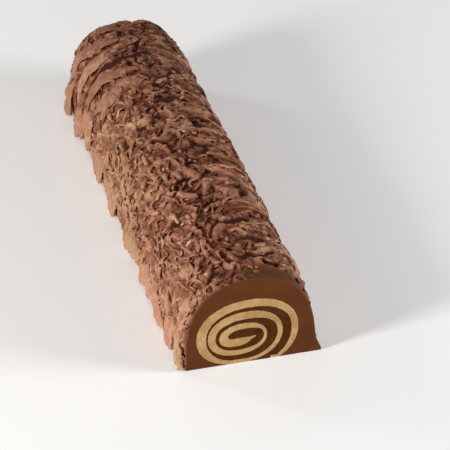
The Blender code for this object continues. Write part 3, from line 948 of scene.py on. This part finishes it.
ribbon_blanks = [
    shaving_blank(30, 12, thick=0.0008, form=ribbon_form(
        seed, length=0.028 + 0.0022 * seed, width=0.011 + 0.0011 * (seed % 4),
        crown=0.0013, dent=0.001))
    for seed in range(7)]
ribbon_places = join_places(
    in_row(2, 0.3, (0.08, 0.0975)), in_row(2, 0.27, (0.1195, 0.142)),
    in_row(2, 0.46, (0.124, FAR_CUT - 0.006)))
count = len(ribbon_places[0])
side_ribbons = strew(
    "side_ribbons", ribbon_blanks, ribbon_places, scale=rng.uniform(0.9, 1.15, count),
    turned=rng.normal(-0.05, 0.12, count), tipped=rng.normal(0.0, 0.02, count),
    rolled=rng.normal(-0.12, 0.04, count), lift=rng.uniform(0.0006, 0.0012, count),
    spread=0.1, follows=0.8)
finish_layer(side_ribbons, SHAVED)

# -------------- broad plates at the left foot
# Wide, thin plates scraped off in one push. They hang along the left foot like short curtains,
# with narrow slits between them. Those at both ends of the log are taller and narrower.
WIDE_PLATES_ALONG = (-0.126, -0.098, -0.07, -0.029, 0.022, 0.062)
TALL_PLATES_ALONG = (-0.151, 0.0965, 0.1175, 0.1455)

wide_blanks = [
    shaving_blank(20, 36, thick=0.0009, form=ribbon_form(
        seed, length=0.017 + 0.002 * (seed % 3), width=0.033 + 0.002 * (seed % 2),
        crown=0.001, dent=0.0018))
    for seed in range(30, 34)]
tall_blanks = [
    shaving_blank(34, 20, thick=0.0009, form=ribbon_form(
        seed, length=0.04 + 0.003 * (seed % 3), width=0.0185 + 0.001 * (seed % 2),
        crown=0.0014, dent=0.0013))
    for seed in range(34, 38)]


def plates(name, blanks, share, along, tip):
    """Hang plates along the left foot, each with its upper edge buried and its lower edge free."""
    count = len(along)
    around = np.full(count, share * ARCH) + rng.normal(0.0, 0.001, count)
    return strew(
        name, blanks, (around, np.array(along)), scale=np.ones(count),
        turned=rng.normal(0.0, 0.07, count), tipped=rng.normal(tip, 0.02, count),
        rolled=rng.normal(-0.04, 0.02, count), lift=rng.uniform(0.0004, 0.001, count),
        spread=0.1, follows=0.8)


wide_plates = plates("wide_plates", wide_blanks, 0.062, WIDE_PLATES_ALONG, 0.2)
finish_layer(wide_plates, SHAVED)
tall_plates = plates("tall_plates", tall_blanks, 0.135, TALL_PLATES_ALONG, 0.07)
finish_layer(tall_plates, SHAVED)

# -------------- scooped strips on the right side
# Strips that lie across the log on its right side. The blade rolled their far edge up into a
# rounded lip, so each has a smooth, shaded trough in front of a pale crest.


def scooped_form(seed, length, width, flat_share, bend, bow, ruffle, squash):
    """A strip that lies flat along one edge and rolls up along the other, bowed and ruffled."""
    own = np.random.default_rng(seed)
    a, b, c, d = own.uniform(0.0, 6.28, 4)
    bowed = own.uniform(-bow, bow)

    def form(u, v):
        reach = 0.5 * (v + 1.0)
        steps = reach[:, None] * np.linspace(0.0, 1.0, 25)
        rolled_up = ramp(steps, flat_share, 1.0)
        heading = (bend * (1.0 + ruffle * np.sin(4.2 * u + a)))[:, None] * rolled_up
        narrow = 1.0 - 0.4 * np.abs(u) ** 3 + 0.12 * np.sin(3.4 * u + b)
        x = 0.5 * length * u * (1.0 + 0.1 * np.sin(4.0 * v + c))
        y = (width * reach * np.cos(heading).mean(axis=1) - 0.35 * width) * narrow
        turn = bowed * u
        x, y = x - np.sin(turn) * y, np.cos(turn) * y + 0.25 * bowed * length * u * u
        y += 0.14 * width * np.sin(2.2 * u + c)
        z = squash * width * reach * np.sin(heading).mean(axis=1) * narrow
        bumps = 0.0006 * ripple(np.column_stack([x, y]), 0.004, seed + 0.5)
        z += bumps + 0.04 * width * np.sin(4.0 * u + d)
        return np.column_stack([x, y, z])

    return form


strip_blanks = [
    shaving_blank(18, 12, thick=0.001, form=scooped_form(
        seed, length=0.024 + 0.0028 * (seed - 20), width=0.012 + 0.0012 * (seed % 3),
        flat_share=0.58, bend=3.6, bow=0.3, ruffle=0.3, squash=0.8))
    for seed in range(20, 27)]
strip_places = join_places(scattered(14, (0.58, 0.95)), scattered(18, (0.76, 0.97)))
count = len(strip_places[0])
scooped_strips = strew(
    "scooped_strips", strip_blanks, strip_places, scale=rng.uniform(0.8, 1.2, count),
    turned=rng.normal(0.0, 0.16, count), tipped=rng.normal(0.0, 0.03, count),
    rolled=rng.normal(0.0, 0.15, count), lift=rng.uniform(-0.0002, 0.0005, count), follows=0.8)
finish_layer(scooped_strips, SHAVED)

# -------------- crumpled flakes
# Thin flakes that crumpled into soft folds as the blade pushed them together. They lie on the
# middle of the left side and over the top.


def flake_form(seed, length, width, fold):
    """A crumpled flake: soft knotted folds, an uneven outline and ends pressed flat."""
    own = np.random.default_rng(seed)
    a, b, c = own.uniform(0.0, 6.28, 3)

    def form(u, v):
        x = 0.5 * length * u * (1.0 + 0.18 * np.sin(4.0 * v + a))
        narrow = 1.0 - 0.35 * np.abs(u) ** 3 + 0.14 * np.sin(3.0 * u + b)
        y = 0.5 * width * v * narrow + 0.16 * width * np.sin(2.4 * u + c)
        knots = 2.6 * np.abs(ripple(np.column_stack([x, y]), 0.0046, seed + 0.5)) - 0.5
        z = fold * knots + 0.6 * fold * (1.0 - u * u) * (1.0 - v * v)
        return np.column_stack([x, y, z])

    return form


flake_blanks = [
    shaving_blank(11, 9, thick=0.0007, form=flake_form(
        seed, length=0.0105 + 0.0012 * (seed % 5), width=0.008 + 0.0009 * (seed % 4), fold=0.0012))
    for seed in range(60, 68)]
flake_places = join_places(scattered(6, (0.18, 0.46), (-0.115, 0.085)), scattered(18, (0.3, 0.68)))
count = len(flake_places[0])
crumpled_flakes = strew(
    "crumpled_flakes", flake_blanks, flake_places, scale=rng.uniform(0.75, 1.2, count),
    turned=rng.uniform(-math.pi, math.pi, count), tipped=rng.normal(0.0, 0.12, count),
    rolled=rng.normal(0.0, 0.16, count), lift=rng.uniform(0.0, 0.0008, count), follows=0.6)
finish_layer(crumpled_flakes, SHAVED)

# -------------- small curls on the top
# Short strips that sprang into hooks, waves and little rolls as the block was scraped. On the
# left half of the top they lie to and fro, on the right half across the log.
CURL_TURN = 1.15

curl_blanks = [
    shaving_blank(9, 10, thick=0.0009, form=scooped_form(
        seed, length=0.01 + 0.0012 * (seed % 5), width=0.0068 + 0.0007 * (seed % 3),
        flat_share=0.3, bend=3.4, bow=1.2, ruffle=0.35, squash=0.95))
    for seed in range(40, 46)]
curl_blanks += [
    shaving_blank(9, 13, thick=0.0008, form=scooped_form(
        seed, length=0.01 + 0.0014 * (seed % 5), width=0.009 + 0.0008 * (seed % 3),
        flat_share=0.2, bend=5.2, bow=1.3, ruffle=0.2, squash=0.95))
    for seed in range(46, 53)]
curl_places = scattered(95, (0.26, 0.64))
count = len(curl_places[0])
curl_scale = rng.uniform(0.75, 1.15, count)
to_and_fro = rng.choice([-CURL_TURN, CURL_TURN], count)
curl_turn = np.where(curl_places[0] < 0.5 * ARCH, to_and_fro, 0.0)
top_curls = strew(
    "top_curls", curl_blanks, curl_places, scale=curl_scale,
    turned=curl_turn + rng.normal(0.0, 0.5, count), tipped=rng.normal(0.0, 0.14, count),
    rolled=rng.normal(0.0, 0.25, count), lift=rng.uniform(-0.001, -0.0002, count), follows=0.6)
finish_layer(top_curls, SHAVED)

# -------------- small curls down the sides
# The same curls, smaller and half sunk in the crust, with their ends open. They fill the left
# side and the low right side.
small_blanks = [
    shaving_blank(6, 8, thick=0.0007, form=scooped_form(
        seed, length=0.008 + 0.001 * (seed % 5), width=0.0052 + 0.0005 * (seed % 3),
        flat_share=0.25, bend=4.0, bow=1.4, ruffle=0.35, squash=0.9))
    for seed in range(80, 88)]
small_places = join_places(
    scattered(70, (0.08, 0.38), (-0.11, 0.08)), scattered(14, (0.27, 0.4), (0.08, FAR_CUT)),
    scattered(12, (0.22, 0.4), (NEAR_CUT, -0.11)), scattered(10, (0.6, 0.74)),
    scattered(70, (0.76, 1.0)))
count = len(small_places[0])
side_curls = strew(
    "side_curls", small_blanks, small_places, scale=rng.uniform(0.8, 1.2, count),
    turned=rng.normal(0.0, 1.2, count), tipped=rng.normal(0.0, 0.12, count),
    rolled=rng.normal(0.0, 0.3, count), lift=rng.uniform(-0.0006, 0.0002, count), follows=0.6)
finish_layer(side_curls, SHAVED)

# -------------- thin splinters
# Narrow slivers that broke off the edges of the shavings. They lie crisscross on the left side
# and the top, the same two ways as the wrinkles there, and low on the right side.
splinter_blanks = [
    shaving_blank(10, 3, thick=0.0008, form=ribbon_form(
        seed, length=0.011 + 0.0018 * (seed % 5), width=0.0017 + 0.0003 * (seed % 3),
        crown=0.0005, dent=0.0004))
    for seed in range(90, 95)]
splinter_places = join_places(
    scattered(60, (0.06, 0.44), (-0.125, 0.085)), scattered(30, (0.15, 0.6)),
    scattered(24, (0.76, 0.98)))
count = len(splinter_places[0])
slant = np.where(ripple(np.column_stack(splinter_places), 0.024, 8.5) > 0.0, *TO_AND_FRO)
thin_splinters = strew(
    "thin_splinters", splinter_blanks, splinter_places, scale=rng.uniform(0.8, 1.2, count),
    turned=slant + rng.normal(0.0, 0.2, count), tipped=rng.normal(0.0, 0.08, count),
    rolled=rng.normal(0.0, 0.3, count), lift=rng.uniform(0.0002, 0.0009, count), follows=0.7)
finish_layer(thin_splinters, SHAVED)

# -------------- crumbs
# Small broken bits of the shavings, scattered over the log. Some of them fell on the bare strip
# of coat behind the near cut.
CRUMBS_ON_STRIP = 46

crumb_blanks = [
    shaving_blank(3, 3, thick=0.0008, form=flake_form(
        seed, length=0.0022 + 0.0003 * (seed % 3), width=0.0017 + 0.0002 * (seed % 2), fold=0.0003))
    for seed in range(100, 104)]
bare_around = rng.uniform(0.44, 0.86, CRUMBS_ON_STRIP) * ARCH
bare_along = NEAR_CUT + 0.005 + 0.022 * rng.uniform(0, 1, CRUMBS_ON_STRIP) ** 0.7
spare_places = scattered(260, (0.03, 0.96))
crumb_places = join_places((bare_around, bare_along), spare_places)
crumb_lift = np.concatenate([
    np.full(CRUMBS_ON_STRIP, 0.0005), rng.uniform(0.0006, 0.0012, len(spare_places[0]))])
count = len(crumb_lift)
chocolate_crumbs = strew(
    "chocolate_crumbs", crumb_blanks, crumb_places,
    scale=0.6 + 0.8 * rng.uniform(0.0, 1.0, count) ** 2,
    turned=rng.uniform(-math.pi, math.pi, count), tipped=rng.normal(0.0, 0.3, count),
    rolled=rng.normal(0.0, 0.3, count), lift=crumb_lift, spread=0.3)
finish_layer(chocolate_crumbs, SHAVED)

# -------------- table, light and camera
# A plain pale table top under two soft lights from the sides, the left one warmer, with weaker
# ones behind and in front. The camera looks down on the near cut, with the log running away.
TABLE_TONES = ((0.86, 0.86, 0.86, 1), (0.9, 0.9, 0.9, 1))
TABLE_GLOW = 0.16
LOG_MIDDLE = Vector((0.0, 0.0, 0.03))
CAMERA_AIM = Vector((0.02447, -0.01002, -0.00445))
CAMERA_PLACE = Vector((-0.3118, -1.2555, 0.8341))
CAMERA_LENS = 194.34

bpy.ops.object.select_all(action="DESELECT")
bpy.ops.mesh.primitive_plane_add(size=8.0, location=(0.0, 0.0, -0.0002))
table = bpy.context.object
table.name = "table_top"
table_paint, paint_tree, shader = plain_surface("pale table", 0.9, 0.0)
fill_in(paint_tree, shader, {
    "Base Color": clouded(paint_tree, TABLE_TONES, 2.0, 1.0).outputs["Colour"],
    "Emission Color": (1.0, 1.0, 1.0, 1.0), "Emission Strength": TABLE_GLOW})
table.data.materials.append(table_paint)


def soft_light(name, place, size, power, colour):
    """A soft rectangular light that faces the cake."""
    bpy.ops.object.light_add(type="AREA", location=place)
    lamp = bpy.context.object
    lamp.name = name
    lamp.data.shape = "RECTANGLE"
    lamp.data.size, lamp.data.size_y = size
    lamp.data.energy = power
    lamp.data.color = colour
    lamp.rotation_euler = (LOG_MIDDLE - Vector(place)).to_track_quat("-Z", "Y").to_euler()


soft_light("key_light", (-1.2, -0.45, 0.5), (0.28, 0.28), 15.8, (1.0, 0.97, 0.94))
soft_light("far_key_light", (-0.9, 0.75, 0.6), (0.28, 0.28), 2.6, (1.0, 0.97, 0.94))
soft_light("back_light", (0.05, 1.1, 0.9), (0.9, 0.5), 1.7, (1.0, 1.0, 1.0))
soft_light("right_light", (1.2, -0.6, 0.5), (0.5, 0.3), 13.5, (1.0, 1.0, 1.0))
soft_light("front_fill", (-0.1, -1.5, 0.8), (1.0, 1.0), 2.5, (1.0, 0.98, 0.95))

world = bpy.data.worlds.new("studio")
bpy.context.scene.world = world
world.use_nodes = True
sky = world.node_tree.nodes["Background"]
fill_in(world.node_tree, sky, {"Color": (1.0, 0.97, 0.94, 1.0), "Strength": 0.12})

bpy.ops.object.camera_add(location=CAMERA_PLACE)
camera = bpy.context.object
camera.rotation_euler = (CAMERA_AIM - CAMERA_PLACE).to_track_quat("-Z", "Y").to_euler()
camera.data.lens = CAMERA_LENS
camera.data.sensor_width = 36.0
camera.data.clip_end = 20.0
bpy.context.scene.camera = camera
bpy.context.scene.view_settings.view_transform = "Standard"
